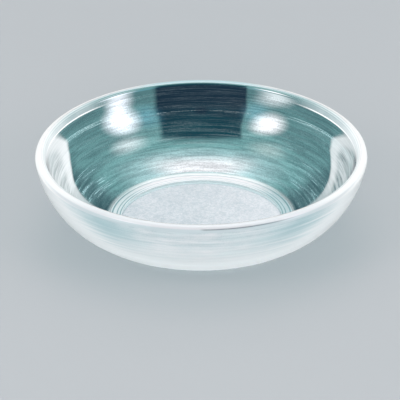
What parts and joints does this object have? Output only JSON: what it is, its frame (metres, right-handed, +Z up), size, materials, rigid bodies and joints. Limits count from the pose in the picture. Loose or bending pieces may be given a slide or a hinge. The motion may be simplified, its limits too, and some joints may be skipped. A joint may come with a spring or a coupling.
{
  "type": "evaporating dish",
  "caption": "Shallow round clear dish with a thick full-round lip, fine lines round the outside of the wall, a low foot ring and a textured disc under the floor.",
  "frame": {"origin": "centre of the plane the foot ring rests on", "axes": "+Z up along the axis of the dish; +X and +Y lie in the resting plane, and the dish is the same all round"},
  "size_m": [0.18, 0.18, 0.0483],
  "materials": {
    "clear_wall": "polished inside, fine brushed lines round the outside",
    "clear_foot": "satin",
    "textured_base": "stippled, frosted"
  },
  "bodies": {
    "root": {"bowl_shell": "clear_wall", "foot_ring": "clear_foot", "base_disc": "textured_base"}
  },
  "joints": []
}
